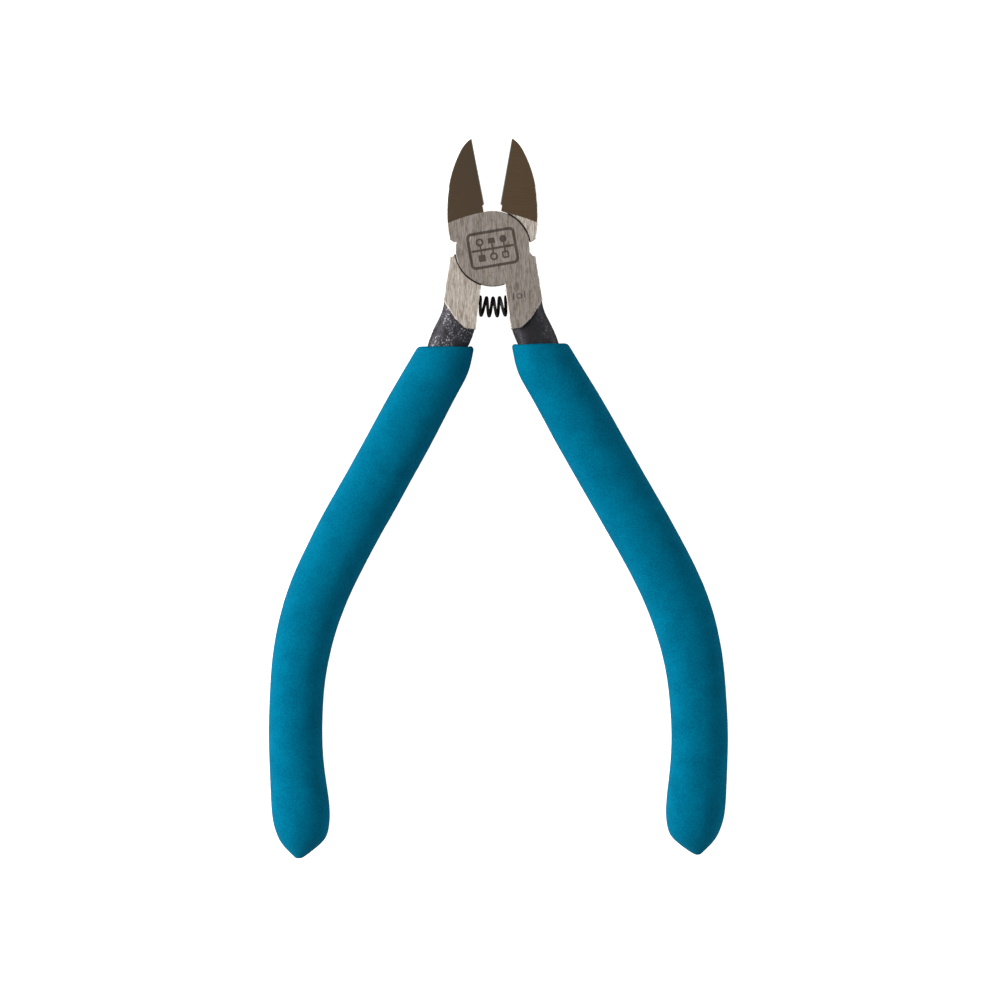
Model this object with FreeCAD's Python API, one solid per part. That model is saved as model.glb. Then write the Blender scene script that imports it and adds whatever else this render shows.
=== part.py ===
"""Sprue nippers: two lap-jointed steel levers on a flush rivet, a return spring and two foam grips.

Frame: the nippers lie flat.  +Y points from the pivot to the blade tips, X runs across the handles
and +Z is the face that carries the cutting edges.  The origin is on the pivot axis, at the flat back
of the joint.  Millimetres and degrees.

Each half is drawn shut, with its cutting edge on the plane x = 0 and its handle on the +X side.  The
front half is then swung open anticlockwise by half_opening; the rear half is the mirror image, with
its half-lap in the other layer.
"""
import FreeCAD, Part
import math
import os
from FreeCAD import Vector

# ---------------------------------------------------------------- whole tool
jaw_reach = 20.3             # pivot axis to blade tip
handle_reach = 115.15        # pivot axis to grip end, handles shut
joint_thickness = 8.6        # flat front face to flat back face
half_opening = 10.33         # how far each half stands open at rest

# ---------------------------------------------------------------- lap joint
lap_radius = 6.8             # round half-lap of each lever
lap_side_gap = 0.15          # between a half-lap and the recess it turns in
lap_face_gap = 0.04          # between the two half-laps
shoulder_step = 0.58         # how far blade roots and shanks stand out past the half-lap

# ---------------------------------------------------------------- pivot rivet, ground flush
rivet_diameter = 6.2
rivet_head_diameter = 8.9
rivet_head_depth = 1.2
rivet_running_gap = 0.03     # radial, in the rear lever only
rivet_rim_break = 0.06       # hairline bevel round each head

# ---------------------------------------------------------------- blades
edge_start = 1.35            # half-lap to the start of the cutting edge
edge_relief = 0.35           # step back beside the half-lap, so that only the edges meet
edge_gap = 0.01              # between the two cutting edges when shut
tip_flat = 0.15              # length of the blunt at the tip
root_low_angle = 20.4        # lower end of the blade root, above the X axis
root_corner_angle = 23.0     # lower corner of the spine, above the X axis
root_waist = 0.12            # the spine draws in by this much at the foot of the grind
root_waist_height = -0.8     # half-lap to the foot of the grind on the spine
front_slope = 7.0            # front grind, falling towards the tip
front_crown_radius = 270.0   # front grind, across the blade
back_slope = 16.0            # back grind, falling towards the tip
bevel_angle = 20.0           # inner bevel behind the cutting edge
spine_shape = (              # share of root width, share of blade length
    (1.0, 0.0),
    (0.910, 0.245),
    (0.721, 0.541),
    (0.405, 0.823),
    (0.168, 0.957),
    (0.014, 1.0),
)

# ---------------------------------------------------------------- shanks
shank_gap_top = 1.9          # between the shut shanks, beside the half-lap
shank_gap_low = 1.1          # between the shut shanks, at the end of the ground face
shank_length = 8.1           # half-lap to the end of the ground face, inner side
ground_outer_length = 4.0    # half-lap to the end of the ground face, outer side
shank_narrowing = 0.2        # outer side, from shoulder to neck
web_angle = 16.5             # where the shoulder leaves the half-lap, below the X axis
shoulder_angle = 21.3        # corner of the shoulder, below the X axis
shoulder_corner = 0.55       # cut off the corner of the shoulder
tongue_shape = (             # share of the ground end's width, height above its inner end
    (0.27, -0.15),
    (0.63, 1.45),
)
edge_break = 0.12            # chamfer round the ground faces

# ---------------------------------------------------------------- forged neck and tang
neck_length = 5.1            # end of the ground face to the start of the grip axis
neck_shape = (               # share of the way from half-lap to grip axis, shift, lean, width, sink
    (0.13, 0.25, 0.0, 6.0, 0.2),
    (0.37, 0.05, 3.0, 6.2, 0.35),
    (0.61, 0.24, 13.0, 6.8, 0.65),
    (0.85, 1.06, 18.0, 6.95, 1.1),
)
tang_width = 6.2
tang_depth = 5.6
tang_end_width = 3.8
tang_end_depth = 3.4
tang_end_cover = 9.0         # foam beyond the end of the tang
arm_squareness = 3.2         # section of neck and tang: 2 is an ellipse, more is squarer

# ---------------------------------------------------------------- grips
grip_axis_offset = 5.1       # grip axis to the plane x = 0, at its start
grip_lean = 18.6             # straight run, leaning outwards when shut
upper_bend_radius = 59.0     # first bend, back to parallel
lower_bend_radius = 85.0     # second bend, inwards
lower_bend_turn = 16.0
end_bend_radius = 47.0       # last bend, back to parallel
grip_width = 11.1            # fullest width across the handle
grip_depth = 10.0            # fullest depth, front to back
grip_squareness = 2.15
right_neck_showing = 2.3     # end of the ground face to the grip's level top edge, at rest
left_neck_showing = 2.65
right_fill = 0.15            # coat on the straight run, inner side, against the mean
left_fill = 0.0
right_swell = 0.3            # coat round the lower bends, outer side, against the mean
left_swell = -0.2
right_end_drift = 0.0        # coat's end, sideways off the axis, outwards
left_end_drift = -0.3
grip_top_round = 0.55
mouth_shape = (              # distance from the axis start, half widths in and out as shares
    (-5.0, 0.70, 0.83),
    (-2.0, 0.81, 0.87),
    (1.0, 0.95, 0.91),
    (5.0, 0.985, 0.94),
    (12.0, 1.0, 0.985),
)
bend_shape = (               # bend number, share of that bend, half widths in and out as shares
    (0, 0.0, 0.99, 1.01),
    (0, 0.5, 0.975, 1.005),
    (0, 1.0, 0.925, 0.975),
    (1, 0.38, 0.905, 0.91),
    (1, 0.7, 0.92, 0.90),
    (1, 1.0, 0.955, 0.935),
)
end_shape = (                # distance from the end, half widths in and out as shares
    (8.5, 1.0, 0.935),
    (6.0, 0.98, 0.86),
    (4.3, 0.90, 0.75),
    (2.9, 0.71, 0.61),
    (1.6, 0.47, 0.39),
    (0.7, 0.30, 0.18),
    (0.05, 0.14, 0.02),
)

# ---------------------------------------------------------------- return spring in its two pockets
spring_diameter = 3.9
spring_wire = 0.57
spring_turns = 8.0
spring_from_lap = 3.82       # half-lap to the spring axis
pocket_side_gap = 0.2
pocket_depth = 2.2
spring_end_gap = 0.02
closed_pitch = 1.04          # of the end turns, in wire diameters


# ---------------------------------------------------------------- helpers
def polar(radius, angle):
    """Plan point at an angle in degrees from +X."""
    return radius * math.cos(math.radians(angle)), radius * math.sin(math.radians(angle))


def curve_through(points):
    """Smooth edge through plan points."""
    spline = Part.BSplineCurve()
    spline.interpolate([Vector(x, y, 0) for x, y in points])
    return spline.toShape()


def lines_through(points):
    """Straight edges through plan points."""
    corners = [Vector(x, y, 0) for x, y in points]
    return [Part.LineSegment(a, b).toShape() for a, b in zip(corners, corners[1:])]


def full_thickness(edges):
    """Solid on a closed plan outline, from the back of the joint to its front."""
    face = Part.Face(Part.Wire(Part.__sortEdges__(edges)))
    return face.extrude(Vector(0, 0, joint_thickness))


def arm_section(centre, heading, width, depth, squareness):
    """Closed section across an arm at mid thickness: squareness 2 is an ellipse."""
    across = Vector(math.cos(heading), math.sin(heading), 0)
    middle = Vector(centre[0], centre[1], joint_thickness / 2)
    points = []
    steps = 32
    for step in range(steps):
        turn = 2 * math.pi * step / steps
        side = math.copysign(abs(math.cos(turn)) ** (2 / squareness), math.cos(turn))
        height = math.copysign(abs(math.sin(turn)) ** (2 / squareness), math.sin(turn))
        points.append(middle + across * (width / 2 * side) + Vector(0, 0, depth / 2 * height))
    spline = Part.BSplineCurve()
    spline.interpolate(points, PeriodicFlag=True)
    return Part.Wire(spline.toShape())


def opened(shape):
    """The front half swung from shut to rest."""
    turned = shape.copy()
    turned.rotate(Vector(0, 0, 0), Vector(0, 0, 1), half_opening)
    return turned


def mirrored(shape):
    """The same shape on the rear half."""
    return shape.mirror(Vector(0, 0, 0), Vector(1, 0, 0))


def other_layer(shape):
    """A lap shape moved to the other layer of the joint."""
    return shape.mirror(Vector(0, 0, joint_thickness / 2), Vector(0, 0, 1))


def middle_of(edge):
    """Point halfway along an edge."""
    return edge.valueAt((edge.FirstParameter + edge.LastParameter) / 2)


def from_pivot(edge):
    """Distance of an edge's middle from the pivot axis."""
    return math.hypot(middle_of(edge).x, middle_of(edge).y)


# ---------------------------------------------------------------- grip axis: straight, three bends
lean = math.radians(grip_lean)
lower_turn = math.radians(lower_bend_turn)
axis_start_y = -(lap_radius + shank_length + neck_length)
bends_drop = upper_bend_radius * math.sin(lean) + (lower_bend_radius + end_bend_radius) * math.sin(lower_turn)
straight_run = (handle_reach + axis_start_y - bends_drop) / math.cos(lean)
bend_radii = (-upper_bend_radius, -lower_bend_radius, end_bend_radius)
bend_lengths = (upper_bend_radius * lean, lower_bend_radius * lower_turn, end_bend_radius * lower_turn)
axis_length = straight_run + sum(bend_lengths)


def axis_at(distance):
    """Point and heading of the grip axis: heading 0 runs along -Y, a positive one leans to +X."""
    x = grip_axis_offset + min(distance, straight_run) * math.sin(lean)
    y = axis_start_y - min(distance, straight_run) * math.cos(lean)
    heading = lean
    left = distance - straight_run
    for length, radius in zip(bend_lengths, bend_radii):
        if left <= 0:
            break
        after = heading + min(left, length) / radius
        x += radius * (math.cos(heading) - math.cos(after))
        y -= radius * (math.sin(after) - math.sin(heading))
        heading = after
        left -= length
    return (x, y), heading


# ---------------------------------------------------------------- blade
def blade():
    """Tapered blade with its root beside the half-lap."""
    root_width = lap_radius + shoulder_step - root_waist
    foot = lap_radius + root_waist_height
    spine = [(-root_width * x, foot + (jaw_reach - foot) * y) for x, y in spine_shape]
    corner_x = lap_radius + shoulder_step
    root_corner = (-corner_x, corner_x * math.tan(math.radians(root_corner_angle)))
    outline = [curve_through([root_corner] + spine)]
    outline += lines_through([
        spine[-1],
        (-edge_gap / 2, jaw_reach - tip_flat),
        (-edge_gap / 2, lap_radius + edge_start),
        (-edge_relief, lap_radius + edge_start - edge_relief / 2),
        (-edge_relief, lap_radius / 2),
        (-lap_radius / 2, lap_radius / 4),
        polar(lap_radius + shoulder_step / 2, 180 - root_low_angle),
        root_corner,
    ])
    ground = full_thickness(outline).cut(front_grind()).cut(back_grind()).cut(inner_bevel())
    return ground.makeChamfer(edge_break, [edge for edge in ground.Edges if on_spine(edge)])


def on_spine(edge):
    """Whether an edge runs lengthways on the outer side of the blade, on its front or back."""
    size = edge.BoundBox
    lengthways = size.YLength > size.XLength and size.YLength > size.ZLength
    return lengthways and middle_of(edge).x < -edge_relief and from_pivot(edge) > lap_radius + shoulder_step


def front_grind():
    """Everything above the slightly crowned front grind."""
    reach = 2 * jaw_reach
    crown_start = Vector(0, -reach, -front_crown_radius)
    crown = Part.makeCylinder(front_crown_radius, 2 * reach, crown_start, Vector(0, 1, 0))
    above = Part.makeBox(reach, 2 * reach, reach, Vector(-reach, -reach, -reach / 2)).cut(crown)
    above.rotate(Vector(0, 0, 0), Vector(1, 0, 0), -front_slope)
    above.translate(Vector(0, lap_radius, joint_thickness))
    return above


def back_grind():
    """Everything below the flat back grind."""
    reach = 2 * jaw_reach
    below = Part.makeBox(2 * reach, 2 * reach, reach, Vector(-reach, 0, -reach))
    below.rotate(Vector(0, 0, 0), Vector(1, 0, 0), back_slope)
    below.translate(Vector(0, lap_radius + edge_start, 0))
    return below


def inner_bevel():
    """Wedge between the cutting edge and the bevelled inner face."""
    reach = 2 * jaw_reach
    wedge = Part.makeBox(reach, 2 * reach, 2 * reach, Vector(0, 0, -2 * reach))
    wedge.rotate(Vector(0, 0, 0), Vector(0, 1, 0), bevel_angle)
    wedge.rotate(Vector(0, 0, 0), Vector(1, 0, 0), -front_slope)
    wedge.translate(Vector(-edge_gap / 2, lap_radius, joint_thickness))
    return wedge


# ---------------------------------------------------------------- shank, neck and tang
shank_outer = lap_radius + shoulder_step
neck_outer = shank_outer - shank_narrowing
ground_end = lap_radius + shank_length


def shank():
    """Flat ground shank, ending in a tongue where the forging falls away."""
    shoulder = polar(shank_outer + shoulder_corner, -shoulder_angle)
    inner_end = (shank_gap_low / 2, -ground_end)
    outer_end = (neck_outer, -(lap_radius + ground_outer_length))
    width = neck_outer - inner_end[0]
    tongue = [(inner_end[0] + width * share, inner_end[1] + rise) for share, rise in tongue_shape]
    outline = [curve_through([inner_end] + tongue + [outer_end])]
    outline += lines_through([
        outer_end,
        (shank_outer, shoulder[1] - shoulder_corner),
        (shank_outer, shoulder[1]),
        (shank_outer - shoulder_corner, shoulder[1] + shoulder_corner / 2),
        polar(lap_radius, -web_angle),
        (lap_radius / 2, -lap_radius / 4),
        (shank_gap_top / 2, -lap_radius / 2),
        (shank_gap_top / 2, -lap_radius),
        inner_end,
    ])
    block = full_thickness(outline)
    return block.makeChamfer(edge_break, [edge for edge in block.Edges if on_ground_rim(edge)])


def on_ground_rim(edge):
    """Whether an edge lies on the rim of the front or back face, outside the half-lap."""
    return edge.BoundBox.ZLength < edge_break / 2 and from_pivot(edge) > lap_radius + edge_break


def arm():
    """Forged neck and the tang that runs down inside the grip."""
    shank_middle = (shank_gap_low / 2 + neck_outer) / 2
    sections = []
    for share, shift, turn, width, sink in neck_shape:
        centre = (shank_middle + shift, -(lap_radius + share * (shank_length + neck_length)))
        depth = joint_thickness - 2 * sink
        sections.append(arm_section(centre, math.radians(turn), width, depth, arm_squareness))
    tang_start = 3.0
    tang_run = axis_length - tang_end_cover - tang_start
    steps = 9
    for step in range(steps + 1):
        share = step / steps
        centre, heading = axis_at(tang_start + tang_run * share)
        width = tang_width + (tang_end_width - tang_width) * share
        depth = tang_depth + (tang_end_depth - tang_depth) * share
        sections.append(arm_section(centre, heading, width, depth, arm_squareness))
    return Part.makeLoft(sections, True, False)


# ---------------------------------------------------------------- joint, pocket and rivet
def lap_recess():
    """Round recess for the other half-lap, from the back to mid thickness."""
    height = (joint_thickness + lap_face_gap) / 2
    below = 1.0
    return Part.makeCylinder(lap_radius + lap_side_gap, height + below, Vector(0, 0, -below))


def half_lap():
    """Round half-lap in the front layer."""
    low = (joint_thickness + lap_face_gap) / 2
    disc = Part.makeCylinder(lap_radius, joint_thickness - low, Vector(0, 0, low))
    rim = [edge for edge in disc.Edges if edge.BoundBox.ZMin > joint_thickness - edge_break]
    return disc.makeChamfer(edge_break, rim)


def pocket_mouth():
    """Where the spring axis meets the inner face of a shut shank."""
    share = spring_from_lap / shank_length
    half_gap = (shank_gap_top + (shank_gap_low - shank_gap_top) * share) / 2
    return half_gap, -(lap_radius + spring_from_lap)


def spring_pocket():
    """Blind pocket in the inner face of a shank."""
    x, y = pocket_mouth()
    run_in = spring_diameter / 2
    radius = spring_diameter / 2 + pocket_side_gap
    start = Vector(x - run_in, y, joint_thickness / 2)
    return Part.makeCylinder(radius, pocket_depth + run_in, start, Vector(1, 0, 0))


def rivet_body(gap):
    """Shank and two countersunk heads; gap is added all round to make a hole for it."""
    shank_radius = rivet_diameter / 2 + gap
    head_radius = rivet_head_diameter / 2 + gap
    front_head = Vector(0, 0, joint_thickness - rivet_head_depth)
    body = Part.makeCylinder(shank_radius, joint_thickness)
    body = body.fuse(Part.makeCone(head_radius, shank_radius, rivet_head_depth))
    body = body.fuse(Part.makeCone(shank_radius, head_radius, rivet_head_depth, front_head))
    return body.removeSplitter()


def pivot_rivet():
    """Rivet, with a hairline bevel round both heads."""
    body = rivet_body(0.0)
    rims = [edge for edge in body.Edges if edge.BoundBox.ZLength < rivet_rim_break
            and edge.BoundBox.XLength > rivet_head_diameter - rivet_rim_break]
    return body.makeChamfer(rivet_rim_break, rims)


def lever(recess, disc, rivet_hole):
    """One lever, drawn shut: blade, shank, neck and tang round its half-lap."""
    body = blade().fuse(shank()).fuse(arm()).cut(recess).fuse(disc)
    return body.cut(spring_pocket()).cut(rivet_hole).removeSplitter()


def front_lever():
    """Left blade, half-lap in front, right shank and tang."""
    return opened(lever(lap_recess(), half_lap(), rivet_body(0.0)))


def rear_lever():
    """Right blade, half-lap at the back, left shank and tang."""
    rear = lever(other_layer(lap_recess()), other_layer(half_lap()), rivet_body(rivet_running_gap))
    return mirrored(opened(rear))


# ---------------------------------------------------------------- grips
def grip_stations():
    """Stations along the axis with the coat's half widths in and out, as shares of full."""
    stations = list(mouth_shape)
    stations.append(((mouth_shape[-1][0] + straight_run) / 2, 1.0, 1.0))
    for number, share, inner, outer in bend_shape:
        start = straight_run + sum(bend_lengths[:number])
        stations.append((start + bend_lengths[number] * share, inner, outer))
    for from_end, inner, outer in end_shape:
        stations.append((axis_length - from_end, inner, outer))
    return stations


def grip(neck_showing, fill, swell, end_drift):
    """Foam coat dipped over the tang, with a level rounded top edge at rest."""
    sections = []
    for station, inner, outer in grip_stations():
        (x, y), heading = axis_at(station)
        bent = max(0.0, min(1.0, (station - straight_run) / (axis_length - straight_run)))
        in_width = grip_width * inner / 2 + fill * (1 - bent)
        out_width = grip_width * outer / 2 + swell * math.sin(math.pi * bent)
        shift = (out_width - in_width) / 2 + end_drift * bent * bent * (3 - 2 * bent)
        centre = (x + shift * math.cos(heading), y + shift * math.sin(heading))
        width = in_width + out_width
        depth = grip_depth * (inner + outer) / 2
        sections.append(arm_section(centre, heading, width, depth, grip_squareness))
    coat = opened(Part.makeLoft(sections, True, False))
    top = -(ground_end + neck_showing)
    reach = 3 * handle_reach
    coat = coat.cut(Part.makeBox(reach, reach, reach, Vector(-reach / 2, top, -reach / 2)))
    top_edge = [edge for edge in coat.Edges if edge.BoundBox.YMin > top - grip_top_round / 2]
    return coat.makeFillet(grip_top_round, top_edge).cut(opened(arm()))


# ---------------------------------------------------------------- return spring
swing = math.radians(half_opening)
mouth_x, mouth_y = pocket_mouth()
mouth_rest_x = mouth_x * math.cos(swing) - mouth_y * math.sin(swing)
mouth_rest_y = mouth_x * math.sin(swing) + mouth_y * math.cos(swing)
sag_radius = mouth_rest_x / math.sin(swing)


def spring_axis(distance):
    """Point and sideways direction of the spring's axis at rest, from its middle."""
    angle = max(-swing, min(swing, distance / sag_radius))
    straight = distance - angle * sag_radius
    along = Vector(math.cos(angle), math.sin(angle), 0)
    side = Vector(-math.sin(angle), math.cos(angle), 0)
    sag_centre = Vector(0, mouth_rest_y + sag_radius * math.cos(swing), joint_thickness / 2)
    return sag_centre - side * sag_radius + along * straight, side


def return_spring():
    """Compression spring with closed end turns, bowed between its two pockets."""
    free_half = sag_radius * swing + pocket_depth - spring_end_gap - spring_wire / 2
    end_pitch = spring_wire * closed_pitch
    open_pitch = (2 * free_half - 2 * end_pitch) / (spring_turns - 2)
    steps_per_turn = 16
    steps = round(spring_turns * steps_per_turn)
    advances = []
    for step in range(steps):
        from_end = min(step + 0.5, steps - step - 0.5) / steps_per_turn
        ease = min(1.0, max(0.0, from_end - 0.6) / 0.8)
        ease = ease * ease * (3 - 2 * ease)
        advances.append((end_pitch + (open_pitch - end_pitch) * ease) / steps_per_turn)
    stretch = 2 * free_half / sum(advances)
    coil_radius = (spring_diameter - spring_wire) / 2
    distance = -free_half
    points = []
    for step in range(steps + 1):
        centre, side = spring_axis(distance)
        turn = 2 * math.pi * step / steps_per_turn
        lift = Vector(0, 0, coil_radius * math.sin(turn))
        points.append(centre + side * (coil_radius * math.cos(turn)) + lift)
        if step < steps:
            distance += advances[step] * stretch
    path = Part.BSplineCurve()
    path.interpolate(points)
    start_direction = path.tangent(path.FirstParameter)[0]
    section = Part.Wire(Part.Circle(points[0], start_direction, spring_wire / 2).toShape())
    return Part.Wire(path.toShape()).makePipeShell([section], True, True)


# ---------------------------------------------------------------- write the pieces
pieces = {
    "front_lever": front_lever(),
    "rear_lever": rear_lever(),
    "pivot_rivet": pivot_rivet(),
    "return_spring": return_spring(),
    "right_grip": grip(right_neck_showing, right_fill, right_swell, right_end_drift),
    "left_grip": mirrored(grip(left_neck_showing, left_fill, left_swell, left_end_drift)),
}
os.makedirs("parts", exist_ok=True)
for name, shape in pieces.items():
    state = "valid" if shape.isValid() else "INVALID"
    print(name, len(shape.Solids), "solid", state, round(shape.Volume, 1), "mm3")
    shape.exportStep("parts/" + name + ".step")
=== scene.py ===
import math

import bmesh
import bpy
from mathutils import Matrix, Vector, kdtree, noise


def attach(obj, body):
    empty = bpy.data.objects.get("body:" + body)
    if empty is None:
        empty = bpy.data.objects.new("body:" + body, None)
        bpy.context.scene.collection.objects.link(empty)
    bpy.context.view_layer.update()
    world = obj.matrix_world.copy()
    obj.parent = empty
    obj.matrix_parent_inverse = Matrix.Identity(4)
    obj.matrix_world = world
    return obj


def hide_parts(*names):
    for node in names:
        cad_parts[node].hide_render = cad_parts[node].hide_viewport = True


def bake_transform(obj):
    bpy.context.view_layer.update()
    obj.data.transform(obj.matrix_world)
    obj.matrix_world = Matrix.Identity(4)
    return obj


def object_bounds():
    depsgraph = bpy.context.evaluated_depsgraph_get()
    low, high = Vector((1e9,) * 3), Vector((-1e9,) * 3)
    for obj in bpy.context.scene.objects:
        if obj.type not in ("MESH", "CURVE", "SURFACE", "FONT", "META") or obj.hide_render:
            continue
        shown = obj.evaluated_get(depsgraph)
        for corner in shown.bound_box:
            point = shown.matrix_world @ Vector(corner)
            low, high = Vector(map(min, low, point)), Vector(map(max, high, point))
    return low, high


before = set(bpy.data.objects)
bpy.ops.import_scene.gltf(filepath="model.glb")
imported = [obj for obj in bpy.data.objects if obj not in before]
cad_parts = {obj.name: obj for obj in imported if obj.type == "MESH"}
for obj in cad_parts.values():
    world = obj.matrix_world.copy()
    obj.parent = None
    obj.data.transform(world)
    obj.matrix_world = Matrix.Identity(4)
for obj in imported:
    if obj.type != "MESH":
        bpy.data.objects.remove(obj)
cad_low, cad_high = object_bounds()


# ---------------------------------------------------------------- bench, light and camera
# The nippers lie on a plain white bench under one large soft window to their left and the pale
# room round them.  The camera looks straight down on the face with the cutting edges.
bench_size = 8.0
bench_white = (0.80, 0.80, 0.80, 1.0)
bench_glow = 1.0
room_light = 0.26
view_width = 0.1814
view_centre = Vector((0.00098, -0.04558, 0.0))
view_roll = math.radians(-0.45)
camera_height = 2.5
sharp_level = 0.005         # the view's width is taken at this height, halfway up the grips
window = {"place": (-0.90, 0.05, 0.50), "size": 0.6, "power": 15.0, "colour": (1.0, 1.0, 1.0)}
white_card = {"place": (0.90, 0.0, 0.12), "size": 0.5, "power": 3.0, "colour": (0.9, 0.97, 1.0)}

bpy.context.scene.view_settings.view_transform = "Standard"


def add_node(tree, kind, feeds=None, **settings):
    """Adds a shader node; feeds gives its inputs, each a value or the socket that drives it."""
    made = tree.nodes.new("ShaderNode" + kind)
    for name, value in settings.items():
        setattr(made, name, value)
    for name, value in (feeds or {}).items():
        if isinstance(value, bpy.types.NodeSocket):
            tree.links.new(value, made.inputs[name])
        else:
            made.inputs[name].default_value = value
    return made


def new_material(name):
    """An empty material with its node tree and its output node."""
    material = bpy.data.materials.new(name)
    material.use_nodes = True
    tree = material.node_tree
    tree.nodes.clear()
    return material, tree, tree.nodes.new("ShaderNodeOutputMaterial")


def make_bench():
    """Wide plain bench that the grips rest on, lit from below like a light table to the camera."""
    mesh = bpy.data.meshes.new("bench")
    half = bench_size / 2
    level = cad_low.z
    corners = [
        (-half, -half, level), (half, -half, level), (half, half, level), (-half, half, level)]
    mesh.from_pydata(corners, [], [(0, 1, 2, 3)])
    bench = bpy.data.objects.new("bench", mesh)
    bpy.context.scene.collection.objects.link(bench)
    material, tree, output = new_material("bench_white")
    paint = add_node(tree, "BsdfDiffuse", {"Color": bench_white})
    glow = add_node(tree, "Emission", {"Strength": bench_glow})
    lit = add_node(tree, "AddShader")
    tree.links.new(paint.outputs[0], lit.inputs[0])
    tree.links.new(glow.outputs[0], lit.inputs[1])
    seen = add_node(tree, "LightPath")
    choice = add_node(tree, "MixShader", {"Fac": seen.outputs["Is Camera Ray"]})
    tree.links.new(paint.outputs[0], choice.inputs[1])
    tree.links.new(lit.outputs[0], choice.inputs[2])
    tree.links.new(choice.outputs[0], output.inputs["Surface"])
    mesh.materials.append(material)


def make_light(name, place, size, power, colour):
    """Square soft light aimed at the middle of the nippers."""
    data = bpy.data.lights.new(name, "AREA")
    data.size = size
    data.energy = power
    data.color = colour
    light = bpy.data.objects.new(name, data)
    light.location = place
    light.rotation_euler = (view_centre - Vector(place)).to_track_quat("-Z", "Y").to_euler()
    bpy.context.scene.collection.objects.link(light)


def make_camera():
    """Long lens over the middle of the nippers."""
    data = bpy.data.cameras.new("overhead")
    data.lens = data.sensor_width * (camera_height - sharp_level) / view_width
    camera = bpy.data.objects.new("overhead", data)
    camera.location = view_centre + Vector((0, 0, camera_height))
    camera.rotation_euler = (0, 0, view_roll)
    bpy.context.scene.collection.objects.link(camera)
    bpy.context.scene.camera = camera


def make_room():
    """Even pale light from the room."""
    world = bpy.data.worlds.new("room")
    world.use_nodes = True
    world.node_tree.nodes["Background"].inputs["Color"].default_value = (1.0, 1.0, 1.0, 1.0)
    world.node_tree.nodes["Background"].inputs["Strength"].default_value = room_light
    bpy.context.scene.world = world


make_bench()
make_light("window", **window)
make_light("white_card", **white_card)
make_camera()
make_room()


# ---------------------------------------------------------------- the two levers
# Each lever is one drop forging of carbon steel: blade, half-lap, shank and neck in one piece.
# The joint faces are linished flat after riveting, the blades are ground across and stay brown
# from hardening in oil, painted darker still as shade for the dark room they reflect,
# and the neck keeps its black forging scale.
half_opening = math.radians(10.33)
lap_radius = 0.0068
crown_width = 0.0663        # the front grind's edge falls away as x squared over this
tongue_line = (             # lower end of the ground face, shut, for the handle on the right
    (0.00055, -0.0149),
    (0.00234, -0.01505),
    (0.00473, -0.01345),
    (0.00718, -0.0108),
)
joint_thickness = 0.0086
joint_level = 0.9999        # the joint faces are level; the grind of the blades leans a little more
rim_level = (0.5, 0.9)      # lean of the rim round the front of a blade
rim_inset = 0.0004          # the rim keeps this far from the cutting edge
rim_height = joint_thickness * 0.9
wall_level = 0.3            # steeper faces than this are walls
shadow_wall_reach = 0.00012        # walls keep the black forged skin this far above the tongue line, which also paints a shadow line along the step
face_below = 0.00005        # ground faces reach this far below it
scale_spacing = 0.00022     # mesh spacing of the forging scale
scale_longest = scale_spacing * 1.6
scale_passes = 6
scale_depth = {"front_lever": 0.000025, "rear_lever": 0.00006}
scale_fade = 0.0004         # the scale thins out this far from a ground edge
scale_lumps = (1300, 2900)  # coarse and fine lumps, per metre
fine_lump_share = 0.8
scaled_length = 0.012       # from the end of the ground face down into the grip
crease_angle = math.radians(40)
edge_highlight_width = 0.00017       # painted highlight: a bright line along the cutting edge
edge_highlight_core = edge_highlight_width * 0.7

GROUND, BROWNED, FORGED, HONED = range(4)   # HONED is the bright rim round a blade's front


def shut_place(point, side):
    """Where a point of a lever at rest lies when the nippers are shut, handle on the right."""
    return Matrix.Rotation(-half_opening, 3, "Z") @ Vector((side * point.x, point.y, point.z))


def tongue_end(x):
    """Height of the lower end of the ground face at a distance x from the middle, shut."""
    for (left, low), (right, high) in zip(tongue_line, tongue_line[1:]):
        if x < right:
            break
    return low + (high - low) * (x - left) / (right - left)


def finish_of(face, side):
    """Which finish a face of a lever has, by where it lies."""
    centre = shut_place(face.calc_center_median(), side)
    level = abs(face.normal.z)
    if centre.y > lap_radius - centre.x ** 2 / crown_width and level < joint_level:
        leans = rim_level[0] < level < rim_level[1]
        on_rim = leans and centre.x < -rim_inset and centre.z > rim_height
        return HONED if on_rim else BROWNED
    # walls near the tongue take the dark forged finish, which is also a painted shadow line along
    # the step
    reach = shadow_wall_reach if level < wall_level else -face_below
    if centre.x > 0 and centre.y < tongue_end(centre.x) + reach:
        return FORGED
    return GROUND


def refine_neck(shape, side):
    """Splits the long edges of the visible forged neck."""
    lowest = tongue_line[0][1] - scaled_length
    for _ in range(scale_passes):
        long_edges = set()
        for face in shape.faces:
            height = shut_place(face.calc_center_median(), side).y
            if face.material_index != FORGED or height < lowest:
                continue
            long_edges.update(e for e in face.edges if e.calc_length() > scale_longest)
        if not long_edges:
            break
        bmesh.ops.subdivide_edges(shape, edges=list(long_edges), cuts=1)
        bmesh.ops.triangulate(shape, faces=[f for f in shape.faces if len(f.verts) > 3])


def roughen_neck(shape, depth):
    """Raises and sinks the forged skin a little, flush again where it meets ground steel."""
    rim = [v for v in shape.verts if any(f.material_index != FORGED for f in v.link_faces)]
    near_rim = kdtree.KDTree(len(rim))
    for number, vert in enumerate(rim):
        near_rim.insert(vert.co, number)
    near_rim.balance()
    skin = [v for v in shape.verts if all(f.material_index == FORGED for f in v.link_faces)]
    shape.normal_update()
    moves = []
    for vert in skin:
        fade = min(1.0, near_rim.find(vert.co)[2] / scale_fade)
        coarse, fine = (noise.noise(vert.co * lumps) for lumps in scale_lumps)
        moves.append(vert.normal * (depth * fade * (coarse + fine_lump_share * fine)))
    for vert, move in zip(skin, moves):
        vert.co += move


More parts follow.
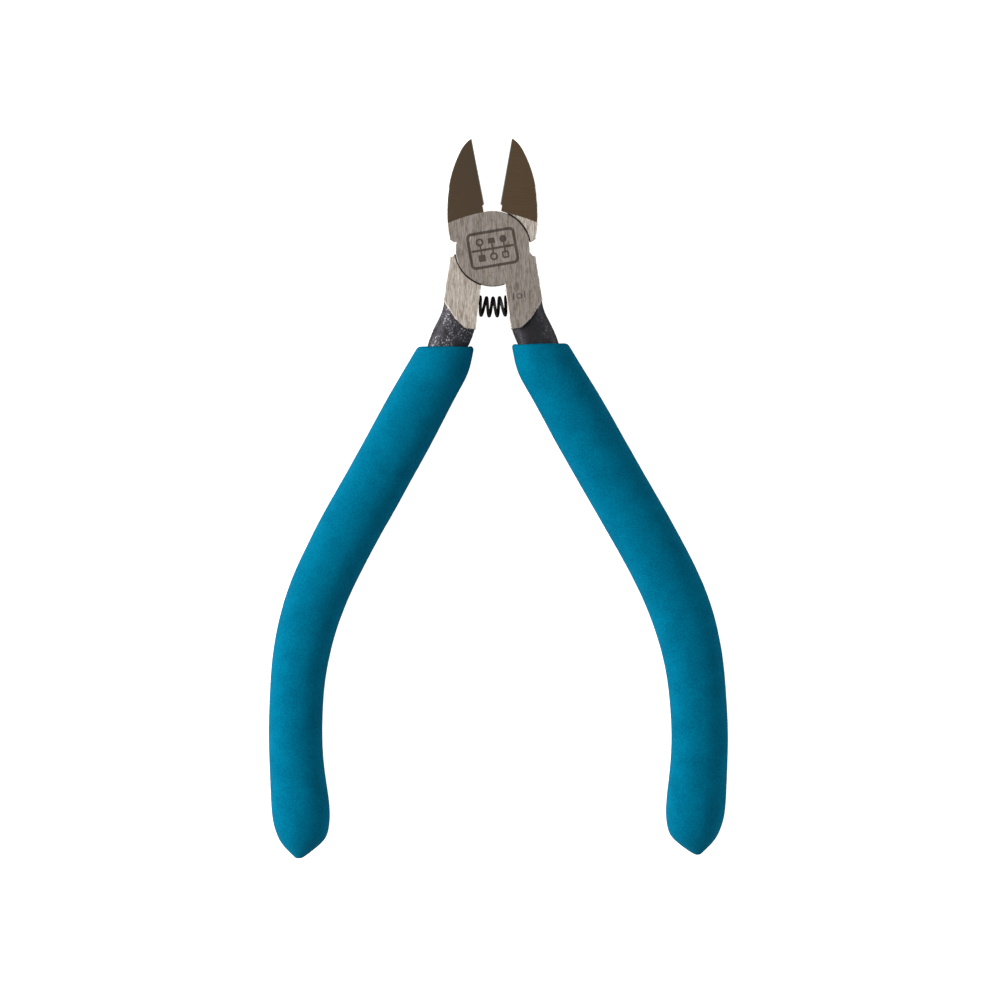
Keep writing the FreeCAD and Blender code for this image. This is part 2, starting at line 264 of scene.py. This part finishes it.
def lever_steel(node_name, side):
    """Finer copy of a lever with its faces sorted by finish and a rough forged neck."""
    mesh = bpy.data.meshes.new(node_name + "_steel")
    shape = bmesh.new()
    shape.from_mesh(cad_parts[node_name].data)
    bmesh.ops.remove_doubles(shape, verts=shape.verts, dist=1e-6)
    for face in shape.faces:
        face.material_index = finish_of(face, side)
    refine_neck(shape, side)
    roughen_neck(shape, scale_depth[node_name])
    for face in shape.faces:
        face.smooth = True
    for edge in shape.edges:
        finishes = {f.material_index for f in edge.link_faces}
        edge.smooth = len(finishes) == 1 and edge.calc_face_angle(0) < crease_angle
    shape.to_mesh(mesh)
    shape.free()
    steel = bpy.data.objects.new(node_name + "_steel", mesh)
    bpy.context.scene.collection.objects.link(steel)
    flat = steel.modifiers.new("flat_faces", "WEIGHTED_NORMAL")
    flat.keep_sharp = True
    flat.weight = 100
    return steel


def new_group(name, inputs, outputs):
    """An empty node group with its named sockets; returns its tree, input node and output node."""
    group = bpy.data.node_groups.new(name, "ShaderNodeTree")
    for socket, kind in inputs:
        group.interface.new_socket(socket, in_out="INPUT", socket_type="NodeSocket" + kind)
    for socket, kind in outputs:
        group.interface.new_socket(socket, in_out="OUTPUT", socket_type="NodeSocket" + kind)
    return group, group.nodes.new("NodeGroupInput"), group.nodes.new("NodeGroupOutput")


def use_group(tree, group, feeds):
    """Places a node group in a material."""
    placed = tree.nodes.new("ShaderNodeGroup")
    placed.node_tree = group
    for name, value in feeds.items():
        if isinstance(value, bpy.types.NodeSocket):
            tree.links.new(value, placed.inputs[name])
        else:
            placed.inputs[name].default_value = value
    return placed


wide_line_share = 0.28
line_contrast = 0.12        # noise this far from its mean gives the darkest and lightest lines


def make_grinding_lines():
    """Node group: long fine scratches of a belt or wheel, along the y axis of the given place."""
    group, given, out = new_group(
        "grinding_lines",
        [("Place", "Vector"), ("Lines per mm", "Float"), ("Stretch", "Float")],
        [("Streak", "Float"), ("Height", "Float")],
    )
    across = add_node(group, "Math", {
        0: given.outputs["Lines per mm"], 1: 1000.0}, operation="MULTIPLY").outputs[0]
    along = add_node(group, "Math", {
        0: across, 1: given.outputs["Stretch"]}, operation="DIVIDE").outputs[0]
    size = add_node(group, "CombineXYZ", {"X": across, "Y": along, "Z": across}).outputs[0]
    place = add_node(group, "VectorMath", {
        0: given.outputs["Place"], 1: size}, operation="MULTIPLY").outputs[0]
    fine = add_node(group, "TexNoise", {
        "Vector": place, "Scale": 1.0, "Detail": 3.0, "Roughness": 0.7, "Distortion": 0.25})
    wide = add_node(group, "TexNoise", {
        "Vector": place, "Scale": 0.3, "Detail": 2.0, "Roughness": 0.6, "Distortion": 0.3})
    mixed = add_node(group, "Mix", {
        "Factor": wide_line_share, "A": fine.outputs[0], "B": wide.outputs[0]})
    streak = add_node(group, "MapRange", {
        "Value": mixed.outputs[0],
        "From Min": 0.5 - line_contrast, "From Max": 0.5 + line_contrast})
    group.links.new(streak.outputs[0], out.inputs["Streak"])
    group.links.new(fine.outputs[0], out.inputs["Height"])
    return group


grinding_lines = make_grinding_lines()

seam_shade_reach = (0.00030, 0.00014)    # painted shade beside the seam thins out between these distances from the half-lap
seam_shade_wander = 0.00008


def make_seam_shade():
    """Node group: painted shade along the round seam, on one side of the joint's middle (1 or -1).
    """
    group, given, out = new_group(
        "seam_shade_group", [("Place", "Vector"), ("Side", "Float")], [("Painted Shade", "Float")])
    place = given.outputs["Place"]
    flat = add_node(group, "VectorMath", {0: place, 1: (1, 1, 0)}, operation="MULTIPLY")
    reach = add_node(group, "VectorMath", {0: flat.outputs[0]}, operation="LENGTH")
    uneven = add_node(group, "TexNoise", {"Vector": place, "Scale": 500.0, "Detail": 2.0})
    uneven = add_node(group, "MapRange", {
        "Value": uneven.outputs[0], "To Min": -seam_shade_wander, "To Max": seam_shade_wander})
    reach = add_node(group, "Math", {
        0: reach.outputs["Value"], 1: uneven.outputs[0]}, operation="ADD")
    far, near = (lap_radius + distance for distance in seam_shade_reach)
    shaded = add_node(group, "MapRange", {
        "Value": reach.outputs[0], "From Min": far, "From Max": near})
    height = add_node(group, "SeparateXYZ", {0: place}).outputs["Z"]
    above = add_node(group, "Math", {0: height, 1: joint_thickness / 2}, operation="SUBTRACT")
    above = add_node(group, "Math", {
        0: above.outputs[0], 1: given.outputs["Side"]}, operation="MULTIPLY")
    above = add_node(group, "Math", {0: above.outputs[0], 1: 0.0}, operation="GREATER_THAN")
    painted_shade = add_node(group, "Math", {
        0: shaded.outputs[0], 1: above.outputs[0]}, operation="MULTIPLY")
    group.links.new(painted_shade.outputs[0], out.inputs["Painted Shade"])
    return group


seam_shade_group = make_seam_shade()

# The laser mark shows a moulding frame with six parts on it, in millimetres from the pivot:
# middle, half size, corner radius and half line width of each stroke, 0 for a filled one.
mark_tilt = math.radians(9.3)
mark_ragged = 0.06          # millimetres that the edge of a stroke wanders
mark_blur = 0.05
mark_level = joint_thickness * 1000 - 0.05      # only the front face is marked
mark_strokes = (
    (0.0, 0.0, 3.45, 2.35, 0.75, 0.27),
    (0.0, 0.0, 3.70, 0.0, 0.22, 0.0),
    (-2.15, 0.0, 0.0, 1.0, 0.16, 0.0),
    (0.0, 0.0, 0.0, 1.0, 0.16, 0.0),
    (2.15, 0.0, 0.0, 1.0, 0.16, 0.0),
    (-2.15, 1.45, 0.0, 0.0, 0.55, 0.19),
    (0.0, 1.45, 0.50, 0.35, 0.15, 0.0),
    (2.15, 1.45, 0.0, 0.0, 0.68, 0.0),
    (-2.15, -1.45, 0.42, 0.42, 0.22, 0.0),
    (0.0, -1.45, 0.0, 0.0, 0.55, 0.19),
    (2.15, -1.45, 0.30, 0.30, 0.20, 0.17),
)
check_strokes = (           # a tick, a ring and a tick on the shank below
    (3.75, -8.70, 0.0, 0.50, 0.11, 0.0),
    (4.75, -8.65, 0.0, 0.0, 0.42, 0.10),
    (5.75, -8.35, 0.0, 0.50, 0.11, 0.0),
)


def stroke_distance(tree, place, stroke):
    """Signed distance from a place to one stroke of the mark."""
    x, y, half_x, half_y, corner, half_line = stroke
    offset = add_node(tree, "VectorMath", {0: place, 1: (x, y, 0)}, operation="SUBTRACT")
    folded = add_node(tree, "VectorMath", {0: offset.outputs[0]}, operation="ABSOLUTE")
    outside = add_node(tree, "VectorMath", {
        0: folded.outputs[0], 1: (half_x, half_y, 0)}, operation="SUBTRACT")
    outside = add_node(tree, "VectorMath", {
        0: outside.outputs[0], 1: (0, 0, 0)}, operation="MAXIMUM")
    length = add_node(tree, "VectorMath", {0: outside.outputs[0]}, operation="LENGTH")
    distance = add_node(tree, "Math", {
        0: length.outputs["Value"], 1: corner}, operation="SUBTRACT").outputs[0]
    if half_line:
        distance = add_node(tree, "Math", {0: distance}, operation="ABSOLUTE").outputs[0]
        distance = add_node(tree, "Math", {
            0: distance, 1: half_line}, operation="SUBTRACT").outputs[0]
    return distance


def make_laser_mark():
    """Node group: how strongly the laser has browned the front face at a place."""
    group, given, out = new_group("laser_mark", [("Place", "Vector")], [("Mark", "Float")])
    in_mm = add_node(group, "VectorMath", {
        0: given.outputs["Place"], "Scale": 1000.0}, operation="SCALE")
    flat = add_node(group, "VectorMath", {0: in_mm.outputs[0], 1: (1, 1, 0)}, operation="MULTIPLY")
    tilted = add_node(group, "VectorRotate", {
        "Vector": flat.outputs[0], "Angle": -mark_tilt}, rotation_type="Z_AXIS")
    nearest = 1.0
    for place, strokes in ((tilted, mark_strokes), (flat, check_strokes)):
        for stroke in strokes:
            distance = stroke_distance(group, place.outputs[0], stroke)
            nearest = add_node(group, "Math", {
                0: nearest, 1: distance}, operation="MINIMUM").outputs[0]
    ragged = add_node(group, "TexNoise", {"Vector": in_mm.outputs[0], "Scale": 9.0, "Detail": 2.0})
    ragged = add_node(group, "MapRange", {
        "Value": ragged.outputs[0], "To Min": -mark_ragged, "To Max": mark_ragged})
    edge = add_node(group, "Math", {0: nearest, 1: ragged.outputs[0]}, operation="ADD")
    burnt = add_node(group, "MapRange", {
        "Value": edge.outputs[0], "From Min": mark_blur, "From Max": -mark_blur})
    height = add_node(group, "SeparateXYZ", {0: in_mm.outputs[0]}).outputs["Z"]
    front = add_node(group, "Math", {
        0: height, 1: mark_level}, operation="GREATER_THAN")
    mark = add_node(group, "Math", {0: burnt.outputs[0], 1: front.outputs[0]}, operation="MULTIPLY")
    group.links.new(mark.outputs[0], out.inputs["Mark"])
    return group


laser_mark = make_laser_mark()

dark_rougher = 0.08         # how much the dark and light lines differ from the mean roughness
light_smoother = 0.06
burnt_steel = (0.095, 0.070, 0.054, 1)
burn_strength = 0.9
burn_roughness = 0.6
# colour of the painted highlight along the cutting edge
edge_highlight_steel = (0.46, 0.44, 0.41, 1)
# colour of the painted shade beside the seam
seam_shade_colour = (0.030, 0.026, 0.024, 1)


def make_steel(name, dark, light, roughness, lines_per_mm, stretch, turn, depth,
               marked=False, seam_shade_side=0, edge_highlight_side=0):
    """Ground steel: dark and light are the colours of its grinding lines, turn their direction.

    marked adds the laser mark, seam_shade_side the painted shade beside the seam on that side of
    the joint, and edge_highlight_side the painted highlight along the cutting edge of the front (1)
    or rear (-1) lever.
    """
    material, tree, output = new_material(name)
    place = add_node(tree, "TexCoord").outputs["Object"]
    turned = add_node(tree, "VectorRotate", {
        "Vector": place, "Angle": turn}, rotation_type="Z_AXIS")
    lines = use_group(tree, grinding_lines, {
        "Place": turned.outputs[0], "Lines per mm": lines_per_mm, "Stretch": stretch})
    streak = lines.outputs["Streak"]
    colour = add_node(tree, "Mix", {
        "Factor": streak, 6: (*dark, 1), 7: (*light, 1)}, data_type="RGBA")
    rough = add_node(tree, "MapRange", {
        "Value": streak,
        "To Min": roughness + dark_rougher, "To Max": roughness - light_smoother})
    colour, rough = colour.outputs["Result"], rough.outputs[0]
    if marked:
        mark = use_group(tree, laser_mark, {"Place": place}).outputs["Mark"]
        burn = add_node(tree, "Math", {0: mark, 1: burn_strength}, operation="MULTIPLY").outputs[0]
        colour = add_node(tree, "Mix", {
            "Factor": burn, 6: colour, 7: burnt_steel}, data_type="RGBA").outputs["Result"]
        rough = add_node(tree, "Mix", {"Factor": mark, "A": rough, "B": burn_roughness}).outputs[0]
    # painted highlight: lighter steel in a thin line along the cutting edge
    if edge_highlight_side:
        shut = add_node(tree, "VectorRotate", {
            "Vector": place, "Angle": -edge_highlight_side * half_opening}, rotation_type="Z_AXIS")
        across = add_node(tree, "SeparateXYZ", {0: shut.outputs[0]}).outputs["X"]
        inward = add_node(tree, "Math", {0: across}, operation="ABSOLUTE")
        edge_highlight = add_node(tree, "MapRange", {
            "Value": inward.outputs[0], "From Min": edge_highlight_width, "From Max": edge_highlight_core}).outputs[0]
        colour = add_node(tree, "Mix", {
            "Factor": edge_highlight, 6: colour, 7: edge_highlight_steel}, data_type="RGBA").outputs["Result"]
    # painted shade: darker steel beside the seam, where shade falls into the gap between the levers
    if seam_shade_side:
        painted_shade = use_group(tree, seam_shade_group, {"Place": place, "Side": seam_shade_side}).outputs["Painted Shade"]
        colour = add_node(tree, "Mix", {
            "Factor": painted_shade, 6: colour, 7: seam_shade_colour}, data_type="RGBA").outputs["Result"]
    bump = add_node(tree, "Bump", {"Height": lines.outputs["Height"], "Distance": depth})
    shader = add_node(tree, "BsdfPrincipled", {
        "Base Color": colour, "Metallic": 1.0, "Roughness": rough, "Normal": bump.outputs[0]})
    tree.links.new(shader.outputs[0], output.inputs["Surface"])
    return material


scale_black = (0.022, 0.020, 0.024, 1)
scale_grey = (0.052, 0.048, 0.056, 1)
# specks of worn scale, brightened as painted glints
worn_scale_and_glint = (0.60, 0.60, 0.65, 1)


def make_forging_scale(name, specks, bump_height):
    """Black oxide skin left by forging: dull and pitted, with brighter specks of worn scale that
    are also painted glints.
    """
    material, tree, output = new_material(name)
    place = add_node(tree, "TexCoord").outputs["Object"]
    grain = add_node(tree, "TexNoise", {
        "Vector": place, "Scale": 3600.0, "Detail": 3.0, "Roughness": 0.65})
    worn_and_glint_grain = add_node(tree, "MapRange", {
        "Value": grain.outputs[0], "From Min": 0.54, "From Max": 0.68})
    cloud = add_node(tree, "TexNoise", {"Vector": place, "Scale": 300.0, "Detail": 2.0})
    patch = add_node(tree, "MapRange", {
        "Value": cloud.outputs[0], "From Min": 0.44, "From Max": 0.62})
    wear_and_glint = add_node(tree, "Math", {0: worn_and_glint_grain.outputs[0], 1: patch.outputs[0]}, operation="MULTIPLY")
    wear_and_glint = add_node(tree, "Math", {0: wear_and_glint.outputs[0], 1: specks}, operation="MULTIPLY")
    base = add_node(tree, "Mix", {
        "Factor": cloud.outputs[0], 6: scale_black, 7: scale_grey}, data_type="RGBA")
    # worn specks of scale, brightened as painted glints
    colour = add_node(tree, "Mix", {
        "Factor": wear_and_glint.outputs[0], 6: base.outputs["Result"], 7: worn_scale_and_glint}, data_type="RGBA")
    rough = add_node(tree, "MapRange", {"Value": cloud.outputs[0], "To Min": 0.46, "To Max": 0.66})
    bump = add_node(tree, "Bump", {"Height": grain.outputs[0], "Distance": bump_height})
    shader = add_node(tree, "BsdfPrincipled", {
        "Base Color": colour.outputs["Result"], "Metallic": 0.6,
        "Roughness": rough.outputs[0], "Normal": bump.outputs[0]})
    tree.links.new(shader.outputs[0], output.inputs["Surface"])
    return material


disc_steel = {              # upright linished lines on the front lever's joint face and the rivet
    "dark": (0.29, 0.24, 0.20), "light": (0.93, 0.82, 0.735), "roughness": 0.42,
    "lines_per_mm": 6.0, "stretch": 9.0, "turn": 0.0, "depth": 8e-6,
}
honed_steel = {
    "dark": (0.45, 0.44, 0.42), "light": (0.80, 0.78, 0.75), "roughness": 0.35,
    "lines_per_mm": 6.0, "stretch": 6.0, "turn": 0.0, "depth": 2e-6,
}
lever_finishes = {          # in the order GROUND, BROWNED, FORGED, HONED
    "front_lever": (
        make_steel("front_ground_steel", **disc_steel, marked=True, seam_shade_side=-1),
        # blade colours: brown from hardening, painted darker as shade for the dark room the blade
        # reflects
        make_steel(
            "front_blade_browned_and_shaded", dark=(0.132, 0.094, 0.062), light=(0.188, 0.131, 0.086),
            roughness=0.45, lines_per_mm=5.0, stretch=9.0, turn=math.radians(86), depth=4e-6,
            edge_highlight_side=1),
        make_forging_scale("front_forging_scale", specks=0.3, bump_height=2.5e-5),
        make_steel("front_honed_edge", **honed_steel),
    ),
    "rear_lever": (
        # painted light: the rear lever's ground steel is painted lighter than the same steel on the
        # front lever
        make_steel(
            "rear_ground_steel_painted_lighter", dark=(0.38, 0.31, 0.25), light=(1.0, 0.92, 0.83),
            roughness=0.60, lines_per_mm=5.5, stretch=8.0, turn=0.0, depth=8e-6, seam_shade_side=1),
        # blade colours: brown from hardening, painted darker as shade for the dark room the blade
        # reflects
        make_steel(
            "rear_blade_browned_and_shaded", dark=(0.170, 0.112, 0.066), light=(0.258, 0.175, 0.103),
            roughness=0.45, lines_per_mm=5.5, stretch=18.0, turn=math.radians(91), depth=4e-6,
            edge_highlight_side=-1),
        make_forging_scale("rear_forging_scale", specks=1.0, bump_height=7e-5),
        make_steel("rear_honed_edge", **honed_steel),
    ),
}

for node_name, side, body in (("front_lever", 1, "front_half"), ("rear_lever", -1, "rear_half")):
    steel = lever_steel(node_name, side)
    for material in lever_finishes[node_name]:
        steel.data.materials.append(material)
    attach(steel, body)
    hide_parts(node_name)


# ---------------------------------------------------------------- the pivot rivet
# Solid steel rivet with two countersunk heads, closed in the press and ground flush with both
# faces of the joint, so that only a fine circle shows.
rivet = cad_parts["pivot_rivet"]
rivet.data.materials.clear()
rivet.data.materials.append(make_steel("rivet_ground_steel", **disc_steel, marked=True))


# ---------------------------------------------------------------- the return spring
# Coil of black oxidised spring wire with its end turns closed.  It sits loose in a blind pocket
# in each shank and bows a little, because the pockets lean with the handles.
spring_mouth = Vector((0.00265, -0.01031))  # where the coil enters the right shank's pocket
spring_height = 0.0043
spring_straight = 0.001895  # run inside each pocket, to the middle of the end turn's wire
coil_radius = 0.001665
wire_radius = 0.000285
coil_turns = 8.0
closed_pitch = 0.000593
closed_turns = 0.6          # at each end, then the pitch opens over the next easing_turns
easing_turns = 0.8
steps_per_turn = 40
wire_sides = 12
bow_radius = spring_mouth.x / math.sin(half_opening)
bow_centre = Vector((0, spring_mouth.y + bow_radius * math.cos(half_opening), spring_height))


def coil_axis(distance):
    """Point and sideways direction of the coil's bowed axis, from its middle."""
    angle = max(-half_opening, min(half_opening, distance / bow_radius))
    along = Vector((math.cos(angle), math.sin(angle), 0))
    side = Vector((-math.sin(angle), math.cos(angle), 0))
    return bow_centre - side * bow_radius + along * (distance - angle * bow_radius), side


def coil_line():
    """Middle line of the wire: open turns between two closed ones."""
    half = bow_radius * half_opening + spring_straight
    open_pitch = (2 * half - 2 * closed_pitch) / (coil_turns - 2)
    steps = round(coil_turns * steps_per_turn)
    advances = []
    for step in range(steps):
        turns_from_end = min(step + 0.5, steps - step - 0.5) / steps_per_turn
        ease = min(1.0, max(0.0, (turns_from_end - closed_turns) / easing_turns))
        advances.append(closed_pitch + (open_pitch - closed_pitch) * ease * ease * (3 - 2 * ease))
    stretch = 2 * half / sum(advances)
    line, distance = [], -half
    for step in range(steps + 1):
        centre, side = coil_axis(distance)
        turn = 2 * math.pi * step / steps_per_turn
        outward = side * math.cos(turn) + Vector((0, 0, math.sin(turn)))
        line.append(centre + outward * coil_radius)
        if step < steps:
            distance += advances[step] * stretch
    return line


def wire_along(name, line):
    """Round wire swept along a line, with cut ends."""
    shape = bmesh.new()
    rings = []
    for number, point in enumerate(line):
        ahead = line[min(number + 1, len(line) - 1)] - line[max(number - 1, 0)]
        outward = point - coil_axis(point.x)[0]
        across = ahead.cross(outward).normalized()
        outward = across.cross(ahead).normalized()
        ring = []
        for corner in range(wire_sides):
            turn = 2 * math.pi * corner / wire_sides
            spoke = across * math.cos(turn) + outward * math.sin(turn)
            ring.append(shape.verts.new(point + spoke * wire_radius))
        rings.append(ring)
    for low, high in zip(rings, rings[1:]):
        for a, b, c, d in zip(low, low[1:] + low[:1], high[1:] + high[:1], high):
            shape.faces.new((a, b, c, d)).smooth = True
    shape.faces.new(rings[0][::-1])
    shape.faces.new(rings[-1])
    bmesh.ops.recalc_face_normals(shape, faces=shape.faces)
    mesh = bpy.data.meshes.new(name)
    shape.to_mesh(mesh)
    shape.free()
    return mesh


black_oxide = (0.010, 0.010, 0.011, 1)
oily_oxide = (0.030, 0.028, 0.027, 1)


def make_black_wire():
    """Black oxidised wire, a little greasy."""
    material, tree, output = new_material("black_spring_wire")
    place = add_node(tree, "TexCoord").outputs["Object"]
    film = add_node(tree, "TexNoise", {"Vector": place, "Scale": 2500.0, "Detail": 3.0})
    colour = add_node(tree, "Mix", {
        "Factor": film.outputs[0], 6: black_oxide, 7: oily_oxide}, data_type="RGBA")
    rough = add_node(tree, "MapRange", {"Value": film.outputs[0], "To Min": 0.30, "To Max": 0.50})
    bump = add_node(tree, "Bump", {"Height": film.outputs[0], "Distance": 3e-6})
    shader = add_node(tree, "BsdfPrincipled", {
        "Base Color": colour.outputs["Result"], "Metallic": 0.3,
        "Roughness": rough.outputs[0], "Normal": bump.outputs[0]})
    tree.links.new(shader.outputs[0], output.inputs["Surface"])
    return material


spring = bpy.data.objects.new("return_spring_wire", wire_along("return_spring_wire", coil_line()))
bpy.context.scene.collection.objects.link(spring)
spring.data.materials.append(make_black_wire())
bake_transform(spring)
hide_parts("return_spring")


# ---------------------------------------------------------------- the two grips
# Each grip is foamed vinyl, dipped hot over the tang in one coat and cured.  Its skin is matt
# and finely pored, its top edge is level, and the last drip leaves a blunt nub at the end.
foam_voxel = 0.00035
foam_wobble = 0.00006       # slight unevenness of a dipped coat
foam_waves = (130, 480)     # long and short waves of that unevenness, per metre
short_wave_share = 0.25
foam_sink = 0.00005         # keeps the uneven coat inside its nominal size
foam_pore = 0.000012
pores_per_metre = 2400
foam_dark = (0.0, 0.108, 0.196, 1)
foam_light = (0.0, 0.182, 0.312, 1)


def grip_foam(node_name):
    """Dipped coat over a tang: an even fine mesh of the coat with its own unevenness."""
    name = node_name + "_foam"
    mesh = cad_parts[node_name].data.copy()
    mesh.name = name
    foam = bpy.data.objects.new(name, mesh)
    bpy.context.scene.collection.objects.link(foam)
    remesh = foam.modifiers.new("even_mesh", "REMESH")
    remesh.mode = "VOXEL"
    remesh.voxel_size = foam_voxel
    smooth = foam.modifiers.new("soften", "SMOOTH")
    smooth.factor = 0.5
    smooth.iterations = 3
    depsgraph = bpy.context.evaluated_depsgraph_get()
    even = bpy.data.meshes.new_from_object(foam.evaluated_get(depsgraph))
    foam.modifiers.clear()
    foam.data = even
    normals = [v.normal.copy() for v in even.vertices]
    for vert, normal in zip(even.vertices, normals):
        long_wave, short_wave = (noise.noise(vert.co * waves) for waves in foam_waves)
        wobble = long_wave * foam_wobble + short_wave * foam_wobble * short_wave_share
        pore = noise.noise(vert.co * pores_per_metre) * foam_pore
        vert.co += normal * (wobble - foam_sink + pore)
    even.shade_smooth()
    return foam


def make_foam_skin():
    """Teal foamed vinyl: matt, with fine pores and a slightly clouded colour."""
    material, tree, output = new_material("teal_foam_skin")
    place = add_node(tree, "TexCoord").outputs["Object"]
    pores = add_node(tree, "TexNoise", {
        "Vector": place, "Scale": 3600.0, "Detail": 4.0, "Roughness": 0.7})
    cloud = add_node(tree, "TexNoise", {"Vector": place, "Scale": 260.0, "Detail": 3.0})
    speckle = add_node(tree, "Mix", {
        "Factor": 0.25, "A": pores.outputs[0], "B": cloud.outputs[0]})
    shade = add_node(tree, "MapRange", {
        "Value": speckle.outputs[0], "From Min": 0.38, "From Max": 0.62})
    colour = add_node(tree, "Mix", {
        "Factor": shade.outputs[0], 6: foam_dark, 7: foam_light}, data_type="RGBA")
    bump = add_node(tree, "Bump", {"Height": pores.outputs[0], "Distance": 4.5e-5})
    shader = add_node(tree, "BsdfPrincipled", {
        "Base Color": colour.outputs["Result"], "Roughness": 0.92, "Specular IOR Level": 0.12,
        "Specular Tint": (0.0, 0.7, 0.9, 1.0), "Normal": bump.outputs[0]})
    tree.links.new(shader.outputs[0], output.inputs["Surface"])
    return material


foam_skin = make_foam_skin()
for node_name, body in (("right_grip", "front_half"), ("left_grip", "rear_half")):
    foam = grip_foam(node_name)
    foam.data.materials.clear()
    foam.data.materials.append(foam_skin)
    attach(foam, body)
    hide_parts(node_name)
